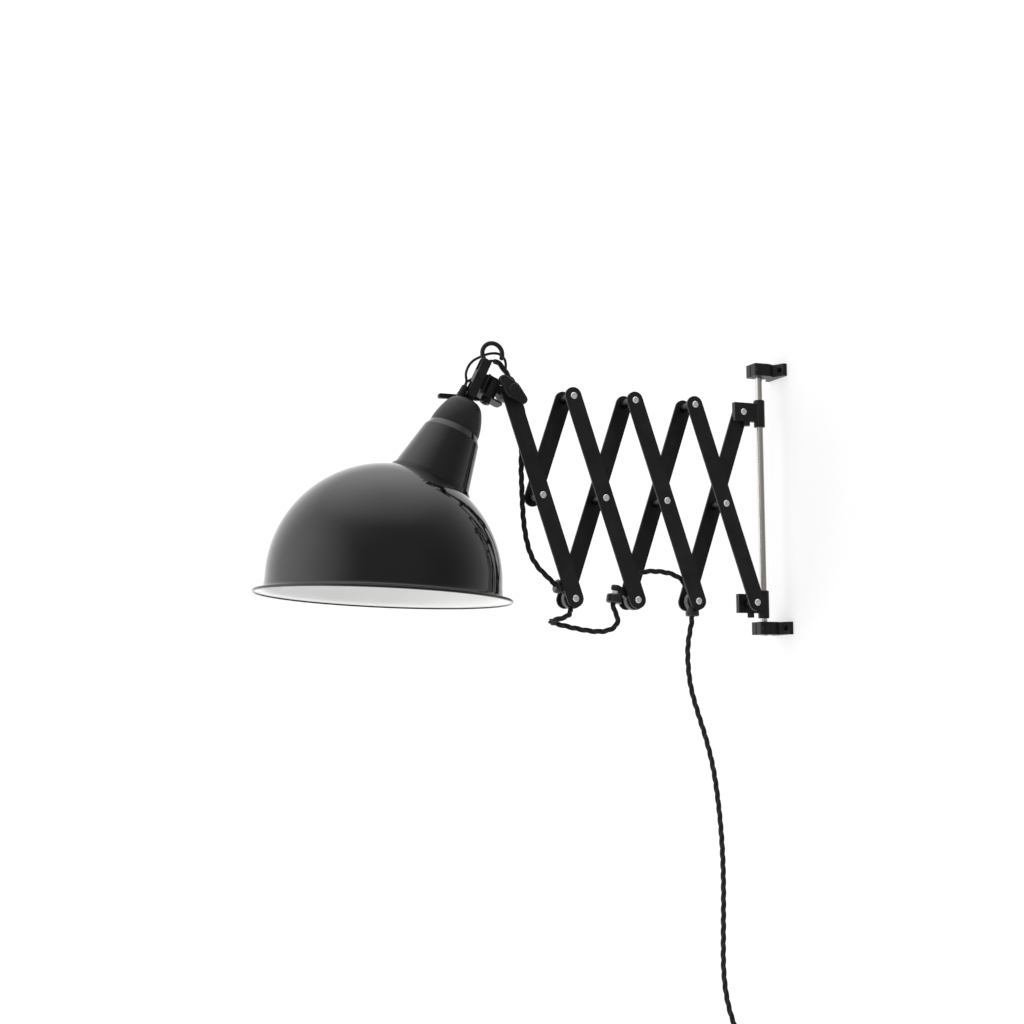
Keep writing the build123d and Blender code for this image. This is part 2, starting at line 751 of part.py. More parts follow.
def inlet_ferrule(cap):
    """Ribbed conical boot on the cap, where the flex goes in."""
    low = ferrule_base_diameter / 2
    high = ferrule_top_diameter / 2
    ribs = 5
    rise = (ferrule_top - ferrule_low) / ribs
    outline = [(ferrule_bore / 2, ferrule_low), (low, ferrule_low)]
    for k in range(ribs):
        shrink = (low - high) / ribs
        radius = low - k * shrink
        outline.append((radius - 0.4 * shrink, ferrule_low + (k + 0.62) * rise))
        outline.append((radius - shrink - 0.5, ferrule_low + (k + 0.80) * rise))
        outline.append((radius - shrink - 0.5, ferrule_low + (k + 0.92) * rise))
        outline.append((radius - shrink, ferrule_low + (k + 1) * rise))
    outline.append((ferrule_bore / 2, ferrule_top))
    outline.append(outline[0])
    body = Pos(ferrule_offset, 0, 0) * revolve(Plane.XZ * make_face(Polyline(*outline)), Axis.Z)
    body -= cap
    body -= cap_lug()
    body -= rod_along_z(cap_top_diameter / 2 - 0.6, ferrule_low - 1, -cap_top_down - cap_wall, 0)
    return body.solids().sort_by(Axis.Z)[-1]


def lampholder():
    """E27 holder inside the neck: shell, shade ring, ceramic insert, contacts and nipple."""
    high = -holder_down
    low = high - holder_length
    outer = holder_diameter / 2
    bore = holder_bore / 2
    shell = rod_along_z(outer, low, high)
    shell -= rod_along_z(bore + 1.2, low - 1, high - 3)
    shell -= rod_along_z(nipple_diameter / 2 + press_fit, low, high + 1)
    parts["lampholder_shell"] = head * shell
    ring = rod_along_z(holder_ring_diameter / 2, low + 4, low + 4 + holder_ring_height)
    ring -= rod_along_z(outer + press_fit, low, low + 30)
    parts["lampholder_ring"] = head * ring
    insert_low = high - 3 - insert_height
    insert = rod_along_z(bore + 1.1, insert_low, high - 3.1)
    insert -= rod_along_z(contact_diameter / 2 + press_fit, insert_low - 1, insert_low + 2)
    parts["lampholder_insert"] = head * insert
    contact = rod_along_z(contact_diameter / 2, insert_low - 1.2, insert_low + 1.9)
    thread = rod_along_z(bore + 1.1, low + 6, insert_low - 2)
    thread -= rod_along_z(bore, low, insert_low)
    parts["lampholder_contacts"] = [head * contact, head * thread]
    nipple = rod_along_z(nipple_diameter / 2, high - 2.9, -cap_base_down + 8)
    nipple -= rod_along_z(3.0, high - 10, -cap_base_down + 20)
    nut = hexagon_rod(15.0, -cap_base_down + 0.1, -cap_base_down + 4, 0, 0)
    nut -= rod_along_z(nipple_diameter / 2 + press_fit, high - 10, -cap_base_down + 20)
    bridge = rod_along_z(cap_base_diameter / 2 - 4.2, -cap_base_down - 1.5, -cap_base_down)
    bridge -= rod_along_z(nipple_diameter / 2 + press_fit, high - 10, -cap_base_down + 20)
    bridge -= box_between(-40, -9, -40, 40, -80, 0)
    bridge -= box_between(9, 40, -40, 40, -80, 0)
    bridge &= rod_along_z(cap_base_diameter / 2 - 6, -90, 0)
    parts["lampholder_nipple"] = [head * nipple, head * nut, head * bridge]


def build_shade():
    neck = shade_neck()
    bore_low = -dome_centre_down + dome_radius * 0.7
    bore = Pos(0, 0, bore_low) * Cone(
        neck_radius(bore_low) - shade_wall - 4, neck_radius(-neck_top_down - 10) - shade_wall,
        -neck_top_down - 10 - bore_low, align=(Align.CENTER, Align.CENTER, Align.MIN),
    )
    parts["shade_dome"] = head * (shade_dome() - bore)
    parts["shade_neck"] = head * neck
    parts["holder_cap"] = head * holder_cap()
    parts["cap_lug"] = head * cap_lug()
    parts["inlet_ferrule"] = head * inlet_ferrule(holder_cap())
    lampholder()


# ---------------------------------------------------------------- flex, clips, hank and plug
# Routes of the flex as the lamp is shown. Where a pair of numbers stands for x and z,
# the stretch lies in the plane Y = flex_plane.
strand_a_route = [      # in the head's u, v, y: hook to ferrule, in front of the fork's crown
    (34.4, 62.6, 8.4), (28.5, 68, 7.5), (21.4, 72.6, 6), (14, 73.6, 5.5), (7.1, 70.8, 5.5),
    (-0.8, 65, 6), (-8.1, 56.4, 5.6), (-15.9, 45.6, 3), (-19.2, 33.9, 0), (-18.6, 22.1, -1.4),
    (-12.4, 13.5, -1.9), (-11.5, 7.05, -1.9),
]
strand_b_route = [      # the same, behind the fork
    (16.4, 63.4, 9.8), (12.4, 62.6, 10), (6.9, 60, 11.6), (3.6, 53.1, 12.4), (0.6, 35.6, 12.4),
    (-4.8, 24, 12.3), (-10.2, 16.5, 7), (-11.5, 12, 2.4), (-11.5, 7.05, 1.9),
]
lead_route = [          # hook, past the knuckle, to behind the last bar
    (-443.6, -5.1, 168.7), (-440.4, -5.2, 166.2), (-434.4, -6, 157.8), (-430.8, -9.5, 150),
    (-427.6, -15.8, 143.8), (-425.0, -19, 138.0), (-421.86, -19, 130.15),
]
hang_route = [          # behind the last bar, down to the first clip
    (-421.8, 130), (-417.2, 118.5), (-413, 105), (-411.5, 86), (-414, 58), (-415.5, 26),
    (-414.5, -4), (-413.5, -32), (-411.5, -56), (-407, -80), (-400, -99), (-389, -113.5),
    (-378, -122.5), (-369, -131.5), (-360, -136.5),
]
loop_route = [          # first clip's hub, round a fold in depth, up to the second clip
    (-345, -19, -165.0), (-347, -27, -172.5), (-358.9, -31, -178), (-369.4, -20.5, -180.8),
    (-369.4, -5.5, -182.3), (-358.9, 5, -183.6), (-345, 4, -186.8), (-331, -6, -191),
    (-317, -14, -194.2), (-302, -18, -195.8), (-288, -19, -194), (-277.5, -19, -188.5),
    (-273, -19, -179.5), (-276.5, -19, -170.5), (-281, -19, -162.5), (-280.6, -19, -151),
]
arc_route = [           # second clip's hub, the arch, down to the third hub
    (-252, -140), (-252, -129), (-246.5, -118), (-236, -112.8), (-222, -111.2), (-207, -111.5),
    (-192, -113.5), (-179, -118.5), (-170.5, -126), (-162.2, -140.3),
]
tail_route = [          # gland to the hank, hanging
    (-159, -19, -166), (-159.4, -19, -178), (-162.8, -19, -192), (-167, -19, -213),
    (-167.3, -19, -240), (-163.5, -19, -272), (-153, -19, -306), (-140.5, -19, -342),
    (-130.5, -19, -380), (-124.5, -19, -420), (-119.5, -19, -470), (-117.5, -19, -530),
    (-119.5, -19, -600), (-121.5, -19.5, -660), (-117, -24, -705), (-106, -31, -742),
    (-99.8, -34.8, -772), (-99.8, -34.8, -792.7),
]


def in_plane(route):
    """The x, z pairs of a route as points in the flex's plane."""
    return [(x, flex_plane, z) for x, z in route]


def hub(x, z, bore_fit):
    """Round cable hub on a lower pivot's spacer, centred on the pivot's axis."""
    y0 = flex_plane - hub_width / 2
    y1 = flex_plane + hub_width / 2
    body = rod_along_y(hub_diameter / 2, y0, y1, x, z)
    rims = body.edges().filter_by(GeomType.CIRCLE)
    body = chamfer(rims, 1.0)
    return body - rod_along_y(spacer_diameter / 2 + bore_fit, y0 - 1, y1 + 1, x, z)


def stepped(start, axis, steps):
    """Stacked discs along an axis from a start point; each step is a diameter and a length."""
    body = None
    place = start
    for diameter, length in steps:
        disc = extrude(Plane(origin=place, z_dir=axis) * Circle(diameter / 2), length)
        disc = chamfer(disc.edges().filter_by(GeomType.CIRCLE), min(1.6, length / 4))
        body = disc if body is None else body + disc
        place = place + axis * length
    return body


def cable_clip(x, z, mouth, direction, steps):
    """A hub with a turned sleeve whose mouth takes the flex; direction points inwards."""
    body = hub(x, z, press_fit)
    axis = Vector(direction[0], 0, direction[1]).normalized()
    start = Vector(mouth[0], flex_plane, mouth[1])
    total = 0
    for _, length in steps:
        total += length
    inner = start + axis * (total - steps[-1][1] / 2)
    arm_length = math.dist((x, z), (inner.X, inner.Z))
    face = Plane(
        origin=((x + inner.X) / 2, flex_plane - clip_arm / 2, (z + inner.Z) / 2),
        x_dir=((inner.X - x) / arm_length, 0, (inner.Z - z) / arm_length),
        z_dir=(0, 1, 0),
    )
    body += stepped(start, axis, steps)
    body += extrude(face * Rectangle(arm_length, clip_arm), clip_arm)
    y0 = flex_plane - hub_width
    return body - rod_along_y(spacer_diameter / 2 + press_fit, y0, y0 + 2 * hub_width, x, z)


def clip_ring():
    """Plated ring on the waist of the second clip's sleeve."""
    axis = Vector(clip_1_direction[0], 0, clip_1_direction[1]).normalized()
    start = Vector(clip_1_mouth[0], flex_plane, clip_1_mouth[1]) + axis * (clip_1_steps[0][1] + 0.2)
    face = Plane(origin=start, z_dir=axis)
    ring = Circle(clip_ring_diameter / 2) - Circle(clip_1_steps[1][0] / 2)
    return extrude(face * ring, clip_1_steps[1][1] - 0.4)


def cable_gland(x, z):
    """Hub of the last pivot, which turns on its spacer and hangs plumb, with the flex's gland."""
    body = hub(x, z, running_fit)
    low = gland_low
    body += rod_along_z(gland_diameter / 2, low + 1, z - 4, x + gland_offset, flex_plane)
    collar = rod_along_z(gland_collar_diameter / 2, low, low + 8, x + gland_offset, flex_plane)
    body += chamfer(collar.edges().filter_by(GeomType.CIRCLE), 1.2)
    return body - rod_along_y(
        spacer_diameter / 2 + running_fit, flex_plane - hub_width, flex_plane + hub_width, x, z
    )


def hank():
    """The put-away flex: a flat oval ring, and the short end that leads to the plug."""
    middle_z = hank_top - hank_length / 2
    outline = SlotOverall(hank_length, hank_width) - SlotOverall(
        hank_length - 2 * hank_band, hank_width - 2 * hank_band
    )
    face = Plane(
        origin=(hank_x, flex_plane - hank_depth / 2, middle_z), x_dir=(0, 0, 1), z_dir=(0, 1, 0)
    )
    ring = extrude(face * outline, hank_depth)
    low = hank_top - hank_length
    end = rod_along_z(flex_diameter / 2, low - plug_drop, low, hank_x, plug_plane)
    return [ring, end]


def plug():
    """Round two-pin plug with its tapered strain relief, hanging below the hank."""
    x = hank_x
    start = hank_top - hank_length - plug_drop
    relief_length = 24.0
    relief = Pos(x, plug_plane, start - relief_length) * Cone(
        plug_body_diameter * 0.28, flex_diameter / 2 + 1.2, relief_length,
        align=(Align.CENTER, Align.CENTER, Align.MIN),
    )
    low = start - relief_length - plug_body_length
    grip = rod_along_z(plug_body_diameter / 2, low, start - relief_length + 0.01, x, plug_plane)
    rims = grip.edges().filter_by(GeomType.CIRCLE).sort_by(Axis.Z)
    grip = fillet(rims[-1], 7.0)
    parts["plug_body"] = relief + grip
    pins = []
    for side in (-1, 1):
        pin_y = plug_plane + side * plug_pin_spacing / 2
        prong = rod_along_z(plug_pin_diameter / 2, low - plug_pin_length, low, x, pin_y)
        tip = prong.edges().filter_by(GeomType.CIRCLE).sort_by(Axis.Z)[0]
        pins.append(chamfer(tip, 1.2))
    parts["plug_pins"] = pins


def build_flex():
    strands = []
    for name, route in (("strand a", strand_a_route), ("strand b", strand_b_route)):
        strands.append(flex(name, [head_point(*point) for point in route], strand_diameter))
    parts["flex_strands"] = strands
    parts["flex_lead"] = flex("lead", lead_route, flex_diameter)
    hang = flex("hang", in_plane(hang_route), flex_diameter)
    loop = flex("loop", loop_route, flex_diameter)
    arc = flex("arc", in_plane(arc_route), flex_diameter)
    tail = flex("tail", tail_route, flex_diameter)
    parts["flex_hang"] = hang
    parts["flex_loop"] = loop
    parts["flex_arc"] = arc
    parts["flex_tail"] = tail
    first = cable_clip(*bottom(0), clip_0_mouth, clip_0_direction, clip_0_steps)
    second = cable_clip(*bottom(1), clip_1_mouth, clip_1_direction, clip_1_steps)
    parts["cable_clip_0"] = first - hang - loop
    ring = clip_ring()
    parts["cable_clip_1"] = second - loop - arc - ring
    parts["clip_ring"] = ring
    parts["cable_gland"] = cable_gland(*bottom(2)) - arc - tail
    ring, end = hank()
    parts["flex_hank"] = [ring - tail, end]
    plug()


def write_parts():
    """One STEP file per node; a list is a group of separate solids."""
    os.makedirs("parts", exist_ok=True)
    for name, shape in parts.items():
        if isinstance(shape, list):
            shape = Compound(children=shape)
        shape.label = name
        export_step(shape, f"parts/{name}.step")


build_wall_side()
carriage("lower", low_z, running_fit)
carriage("upper", high_z, press_fit)
build_arm()
build_head()
build_shade()
build_flex()
write_parts()
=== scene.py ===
"""Looks of the accordion wall lamp: enamelled shade, painted bars, nickelled pivots, textile flex.

Metres, in the row frame: +X into the wall, +Z up, the wall is X = 0.
"""
import json
import math

import bmesh
import bpy
from mathutils import Matrix, Vector


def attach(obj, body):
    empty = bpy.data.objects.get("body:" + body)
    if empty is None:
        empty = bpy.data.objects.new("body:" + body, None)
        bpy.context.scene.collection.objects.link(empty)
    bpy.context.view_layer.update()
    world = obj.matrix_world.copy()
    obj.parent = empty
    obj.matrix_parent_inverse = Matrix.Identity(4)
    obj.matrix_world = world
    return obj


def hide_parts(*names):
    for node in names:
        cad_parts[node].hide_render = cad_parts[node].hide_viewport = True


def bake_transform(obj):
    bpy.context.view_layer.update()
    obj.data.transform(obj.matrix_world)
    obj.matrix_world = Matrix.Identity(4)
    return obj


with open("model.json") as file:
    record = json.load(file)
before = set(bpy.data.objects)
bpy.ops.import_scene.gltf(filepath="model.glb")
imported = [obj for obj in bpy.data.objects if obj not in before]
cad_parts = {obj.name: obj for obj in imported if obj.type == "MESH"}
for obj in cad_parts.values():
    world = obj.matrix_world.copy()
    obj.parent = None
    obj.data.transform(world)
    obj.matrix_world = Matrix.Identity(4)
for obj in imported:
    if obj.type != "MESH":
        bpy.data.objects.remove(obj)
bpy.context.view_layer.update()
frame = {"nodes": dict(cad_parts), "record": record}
MM = 0.001

# ---------------------------------------------------------------- places
fold = math.radians(18.67)          # bars from the vertical
half_bar = 0.146                    # crossing to end pivot
cells = 4
cell_pitch = 2 * half_bar * math.sin(fold)
half_height = half_bar * math.cos(fold)
pivot_x = -0.062                    # pivots on the carriages
low_z = -0.152
mid_z = low_z + half_height
high_z = mid_z + half_height
head_plane = -0.013                 # y of the head's middle
flex_plane = -0.019                 # y of the hanging flex
flex_diameter = 0.0077
strand_diameter = 0.0036
dome_radius = 0.1537
dome_wall = 0.0012
dome_centre_down = 0.280            # from the clevis along the neck's axis
dome_tilt = math.radians(2.7)       # dome axis from the vertical
head_tilt = math.radians(25.3)      # neck axis from the vertical

arm_end = Vector((pivot_x - cells * cell_pitch, 0, high_z))
clevis = arm_end + Vector((-0.0501, 0, -0.0053))
head_matrix = (
    Matrix.Translation((clevis.x, head_plane, clevis.z)) @ Matrix.Rotation(head_tilt, 4, "Y")
)


def head_point(u, v, y=0.0):
    """Head axes, in millimetres, to the row frame."""
    x = clevis.x + MM * (u * math.cos(head_tilt) + v * math.sin(head_tilt))
    z = clevis.z + MM * (-u * math.sin(head_tilt) + v * math.cos(head_tilt))
    return (x, head_plane + MM * y, z)


def in_plane(route):
    """Millimetre x, z pairs in the flex's plane, to metres."""
    return [(MM * x, flex_plane, MM * z) for x, z in route]


def in_metres(route):
    return [(MM * x, MM * y, MM * z) for x, y, z in route]


# ---------------------------------------------------------------- materials
def new_material(name):
    """A material, its node tree and its Principled shader."""
    material = bpy.data.materials.new(name)
    material.use_nodes = True
    return material, material.node_tree, material.node_tree.nodes["Principled BSDF"]


def coordinates(tree, kind="Object"):
    return tree.nodes.new("ShaderNodeTexCoord").outputs[kind]


def noise(tree, vector, scale, detail):
    node = tree.nodes.new("ShaderNodeTexNoise")
    node.inputs["Scale"].default_value = scale
    node.inputs["Detail"].default_value = detail
    tree.links.new(vector, node.inputs["Vector"])
    return node.outputs["Fac"]


def mapped(tree, value, low, high, from_low=0.0, from_high=1.0):
    node = tree.nodes.new("ShaderNodeMapRange")
    node.inputs["From Min"].default_value = from_low
    node.inputs["From Max"].default_value = from_high
    node.inputs["To Min"].default_value = low
    node.inputs["To Max"].default_value = high
    tree.links.new(value, node.inputs["Value"])
    return node.outputs["Result"]


def mixed_colour(tree, factor, first, second):
    node = tree.nodes.new("ShaderNodeMix")
    node.data_type = "RGBA"
    tree.links.new(factor, node.inputs["Factor"])
    for socket, value in ((node.inputs["A"], first), (node.inputs["B"], second)):
        if isinstance(value, tuple):
            socket.default_value = (*value, 1)
        else:
            tree.links.new(value, socket)
    return node.outputs["Result"]


def bumped(tree, shader, height, strength, distance):
    node = tree.nodes.new("ShaderNodeBump")
    node.inputs["Strength"].default_value = strength
    node.inputs["Distance"].default_value = distance
    tree.links.new(height, node.inputs["Height"])
    tree.links.new(node.outputs["Normal"], shader.inputs["Normal"])


def math_node(tree, operation, first, second):
    node = tree.nodes.new("ShaderNodeMath")
    node.operation = operation
    for socket, value in ((node.inputs[0], first), (node.inputs[1], second)):
        if isinstance(value, (int, float)):
            socket.default_value = value
        else:
            tree.links.new(value, socket)
    return node.outputs[0]


def satin_paint():
    """Baked satin black paint on steel, a little uneven."""
    material, tree, shader = new_material("satin_black_paint")
    where = coordinates(tree)
    cloud = noise(tree, where, scale=45, detail=5)
    patches = mapped(tree, cloud, 0, 1, from_low=0.3, from_high=0.7)
    colour = mixed_colour(tree, patches, (0.0090, 0.0088, 0.0090), (0.0155, 0.0150, 0.0155))
    tree.links.new(colour, shader.inputs["Base Color"])
    fine = noise(tree, where, scale=900, detail=2)
    tree.links.new(mapped(tree, cloud, 0.36, 0.50), shader.inputs["Roughness"])
    bumped(tree, shader, fine, strength=0.25, distance=0.00008)
    shader.inputs["Specular IOR Level"].default_value = 0.28
    return material


def gloss_black():
    """Black enamel: deep gloss with a faint waviness of the fired coat."""
    material, tree, shader = new_material("black_enamel")
    where = coordinates(tree)
    wave = noise(tree, where, scale=28, detail=2)
    fine = noise(tree, where, scale=260, detail=3)
    height = math_node(tree, "ADD", wave, math_node(tree, "MULTIPLY", fine, 0.06))
    shader.inputs["Base Color"].default_value = (0.0035, 0.0035, 0.0038, 1)
    tree.links.new(mapped(tree, fine, 0.05, 0.11), shader.inputs["Roughness"])
    bumped(tree, shader, height, strength=0.30, distance=0.0006)
    shader.inputs["Specular IOR Level"].default_value = 0.5
    return material


def gloss_white():
    """White enamel inside the shade."""
    material, tree, shader = new_material("white_enamel")
    wave = noise(tree, coordinates(tree), scale=30, detail=2)
    colour = mixed_colour(tree, wave, (0.83, 0.83, 0.82), (0.88, 0.88, 0.875))
    tree.links.new(colour, shader.inputs["Base Color"])
    shader.inputs["Roughness"].default_value = 0.16
    bumped(tree, shader, wave, strength=0.2, distance=0.0004)
    return material


def nickel_plate(name, dark, light, smoothest, roughest):
    """Plated turned steel, cloudy in colour and in polish."""
    material, tree, shader = new_material(name)
    where = coordinates(tree)
    cloud = noise(tree, where, scale=160, detail=4)
    patches = mapped(tree, cloud, 0, 1, from_low=0.35, from_high=0.65)
    tree.links.new(mixed_colour(tree, patches, dark, light), shader.inputs["Base Color"])
    shader.inputs["Metallic"].default_value = 1.0
    polish = mapped(tree, noise(tree, where, scale=700, detail=2), smoothest, roughest)
    tree.links.new(polish, shader.inputs["Roughness"])
    return material


def drawn_steel():
    """Bright drawn rod: fine lines along its length."""
    material, tree, shader = new_material("drawn_steel")
    stretch = tree.nodes.new("ShaderNodeMapping")
    stretch.inputs["Scale"].default_value = (900, 900, 6)
    tree.links.new(coordinates(tree), stretch.inputs["Vector"])
    lines = noise(tree, stretch.outputs["Vector"], scale=1.0, detail=2)
    colour = mixed_colour(tree, lines, (0.50, 0.475, 0.445), (0.66, 0.64, 0.61))
    tree.links.new(colour, shader.inputs["Base Color"])
    shader.inputs["Metallic"].default_value = 1.0
    tree.links.new(mapped(tree, lines, 0.16, 0.30), shader.inputs["Roughness"])
    bumped(tree, shader, lines, strength=0.15, distance=0.00005)
    return material


def brass_metal():
    """Aged brass of the lampholder's contacts."""
    material, tree, shader = new_material("aged_brass")
    cloud = noise(tree, coordinates(tree), scale=120, detail=4)
    colour = mixed_colour(tree, cloud, (0.42, 0.30, 0.13), (0.66, 0.50, 0.24))
    tree.links.new(colour, shader.inputs["Base Color"])
    shader.inputs["Metallic"].default_value = 1.0
    tree.links.new(mapped(tree, cloud, 0.25, 0.5), shader.inputs["Roughness"])
    return material


def glazed_ceramic():
    """Off-white glazed ceramic of the lampholder's insert."""
    material, tree, shader = new_material("glazed_ceramic")
    cloud = noise(tree, coordinates(tree), scale=60, detail=3)
    colour = mixed_colour(tree, cloud, (0.74, 0.72, 0.66), (0.80, 0.78, 0.73))
    tree.links.new(colour, shader.inputs["Base Color"])
    shader.inputs["Roughness"].default_value = 0.2
    return material


def moulded_black():
    """Moulded phenolic: black with a low sheen and faint flow marks."""
    material, tree, shader = new_material("moulded_black")
    where = coordinates(tree)
    flow = noise(tree, where, scale=90, detail=5)
    colour = mixed_colour(tree, flow, (0.0065, 0.006, 0.006), (0.014, 0.0135, 0.013))
    tree.links.new(colour, shader.inputs["Base Color"])
    tree.links.new(mapped(tree, flow, 0.30, 0.45), shader.inputs["Roughness"])
    bumped(tree, shader, noise(tree, where, scale=700, detail=2), strength=0.2, distance=0.00008)
    return material


def textile():
    """Braided cotton over one conductor, darker down in the braid's grooves as painted shade; its
    UVs count braid stitches round and along the core.
    """
    material, tree, shader = new_material("black_braid")
    parts = tree.nodes.new("ShaderNodeSeparateXYZ")
    tree.links.new(coordinates(tree, "UV"), parts.inputs[0])
    around, along = parts.outputs[0], parts.outputs[1]
    waves = []
    for operation in ("ADD", "SUBTRACT"):
        diagonal = math_node(tree, operation, around, along)
        waves.append(math_node(tree, "SINE", math_node(tree, "MULTIPLY", diagonal, 2 * math.pi), 0))
    crossing = math_node(tree, "MAXIMUM", *waves)
    fuzz = noise(tree, coordinates(tree), scale=1500, detail=2)
    height = math_node(tree, "ADD", crossing, math_node(tree, "MULTIPLY", fuzz, 0.6))
    # Colour follows the braid's height: darker down between the stitches as painted shade, with the
    # fuzz adding random tone.
    groove_shade_and_fuzz = mapped(tree, height, 0, 1, from_low=-0.8, from_high=1.5)
    colour = mixed_colour(tree, groove_shade_and_fuzz, (0.0015, 0.0015, 0.0015), (0.011, 0.0105, 0.011))
    tree.links.new(colour, shader.inputs["Base Color"])
    shader.inputs["Roughness"].default_value = 0.82
    shader.inputs["Sheen Weight"].default_value = 0.06
    shader.inputs["Sheen Roughness"].default_value = 0.4
    bumped(tree, shader, height, strength=0.6, distance=0.00018)
    return material


black_enamel = gloss_black()
white_enamel = gloss_white()
# Nickel darkened to near black: painted shade on the spacers, which sit in the gap between the two
# planes of bars.
shade_darkened_nickel = nickel_plate(
    "nickel_darkened_for_painted_shade", (0.030, 0.030, 0.032), (0.055, 0.055, 0.058), 0.30, 0.45,
)
plastic = moulded_black()
braid = textile()

finishes = {
    "satin_black": satin_paint(),
    "enamel": black_enamel,
    "nickel": nickel_plate(
        "bright_nickel", (0.93, 0.925, 0.91), (1.0, 0.995, 0.985), 0.34, 0.52,
    ),
    "polished_steel": drawn_steel(),
    "brass": brass_metal(),
    "ceramic": glazed_ceramic(),
    "textile": braid,
    "black_plastic": plastic,
}
for entry in frame["record"]["subparts"]:
    node = frame["nodes"][entry["node"]]
    between_bars = entry["node"].startswith("pivot_spacers")
    # The spacers between the bars take this darkened nickel, painted shade of the gap, instead of
    # their slot's bright nickel.
    finish = shade_darkened_nickel if between_bars else finishes[entry["material_slot"]]
    node.data.materials.clear()
    node.data.materials.append(finish)


# ---------------------------------------------------------------- mesh helpers
def mesh_object(name, bm, materials, smooth=True):
    """Links a new object with the mesh and ends the bmesh."""
    mesh = bpy.data.meshes.new(name)
    bm.normal_update()
    bm.to_mesh(mesh)
    bm.free()
    for material in materials:
        mesh.materials.append(material)
    for polygon in mesh.polygons:
        polygon.use_smooth = smooth
    obj = bpy.data.objects.new(name, mesh)
    bpy.context.collection.objects.link(obj)
    return obj


def lathe(name, profile, slots, matrix, materials, segments):
    """Turns a closed profile of radius, height pairs (metres) round local Z; a slot per side."""
    bm = bmesh.new()
    rings = []
    for radius, height in profile:
        ring = []
        for k in range(segments):
            turn = 2 * math.pi * k / segments
            ring.append(bm.verts.new((radius * math.cos(turn), radius * math.sin(turn), height)))
        rings.append(ring)
    for a, b, slot in zip(rings, rings[1:] + rings[:1], slots):
        for k in range(segments):
            m = (k + 1) % segments
            face = bm.faces.new((a[k], a[m], b[m], b[k]))
            face.material_index = slot
    bmesh.ops.recalc_face_normals(bm, faces=bm.faces)
    bm.transform(matrix)
    return mesh_object(name, bm, materials)


route_resolution = 24       # points of the line per control point
same_place = 1e-9
shortest_rest = 0.3         # of a step: a shorter one joins the step before it
braid_pitch = 0.0013        # one stitch of the braid
tube_sides = 12
fewest_stitches = 4
core_count = 3
twist_pitch = 0.045         # one turn of the cores
core_step = 0.0015
strand_step = 0.0012


def centreline(route):
    """Evenly read points of the NURBS line that a route controls."""
    curve = bpy.data.curves.new("route", "CURVE")
    curve.dimensions = "3D"
    curve.resolution_u = route_resolution
    spline = curve.splines.new("NURBS")
    spline.points.add(len(route) - 1)
    for point, place in zip(spline.points, route):
        point.co = (*place, 1)
    spline.order_u = 3
    spline.use_endpoint_u = True
    obj = bpy.data.objects.new("route", curve)
    mesh = bpy.data.meshes.new_from_object(obj)
    points = [v.co.copy() for v in mesh.vertices]
    bpy.data.objects.remove(obj)
    bpy.data.curves.remove(curve)
    bpy.data.meshes.remove(mesh)
    return points


def spaced(points, step):
    """The same line with points a fixed step apart."""
    out = [points[0].copy()]
    left = step
    for a, b in zip(points, points[1:]):
        length = (b - a).length
        if length < same_place:
            continue
        done = 0.0
        while length - done >= left:
            done += left
            out.append(a.lerp(b, done / length))
            left = step
        left -= length - done
    if (points[-1] - out[-1]).length > step * shortest_rest:
        out.append(points[-1].copy())
    return out


def frames_along(points):
    """Two directions across the line at each point, which don't spin round it."""
    tangents = []
    for k in range(len(points)):
        before = points[max(k - 1, 0)]
        after = points[min(k + 1, len(points) - 1)]
        tangents.append((after - before).normalized())
    side = tangents[0].orthogonal().normalized()
    frames = []
    for tangent in tangents:
        side = (side - tangent * side.dot(tangent)).normalized()
        frames.append((side, tangent.cross(side)))
    return frames


def add_tube(bm, points, radius):
    """Adds a round tube with closed ends along points, with the braid's UVs."""
    layer = bm.loops.layers.uv.verify()
    rings = []
    along = [0.0]
    for a, b in zip(points, points[1:]):
        along.append(along[-1] + (b - a).length / braid_pitch)
    for point, (side, other) in zip(points, frames_along(points)):
        ring = []
        for k in range(tube_sides):
            turn = 2 * math.pi * k / tube_sides
            out = side * math.cos(turn) + other * math.sin(turn)
            ring.append(bm.verts.new(point + out * radius))
        rings.append(ring)
    stitches = max(fewest_stitches, round(2 * math.pi * radius / braid_pitch))
    for n, (a, b) in enumerate(zip(rings, rings[1:])):
        for k in range(tube_sides):
            m = (k + 1) % tube_sides
            face = bm.faces.new((a[k], a[m], b[m], b[k]))
            corners = ((k, n), (k + 1, n), (k + 1, n + 1), (k, n + 1))
            for loop, (turn, level) in zip(face.loops, corners):
                loop[layer].uv = (stitches * turn / tube_sides, along[level])
    for ring in (rings[0], rings[-1]):
        bm.faces.new(ring)


def twisted_cores(name, route, body):
    """Braided cores twisted round the route; returns the piece and its centreline."""
    line = spaced(centreline([Vector(p) for p in route]), core_step)
    frames = frames_along(line)
    offset = (flex_diameter - strand_diameter) / 2
    bm = bmesh.new()
    for core in range(core_count):
        points = []
        travelled = 0.0
        for k, (point, (side, other)) in enumerate(zip(line, frames)):
            if k:
                travelled += (line[k] - line[k - 1]).length
            turn = 2 * math.pi * (travelled / twist_pitch + core / core_count)
            points.append(point + (side * math.cos(turn) + other * math.sin(turn)) * offset)
        add_tube(bm, points, strand_diameter / 2)
    piece = mesh_object(name, bm, [braid])
    if body:
        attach(piece, body)
    return piece, [tuple(p) for p in line]


# ---------------------------------------------------------------- shade
def arc(centre, radius, start, end, steps):
    """Points of an arc, angles in degrees from the local horizontal."""
    out = []
    for k in range(steps + 1):
        turn = math.radians(start + (end - start) * k / steps)
        out.append((centre[0] + radius * math.cos(turn), centre[1] + radius * math.sin(turn)))
    return out


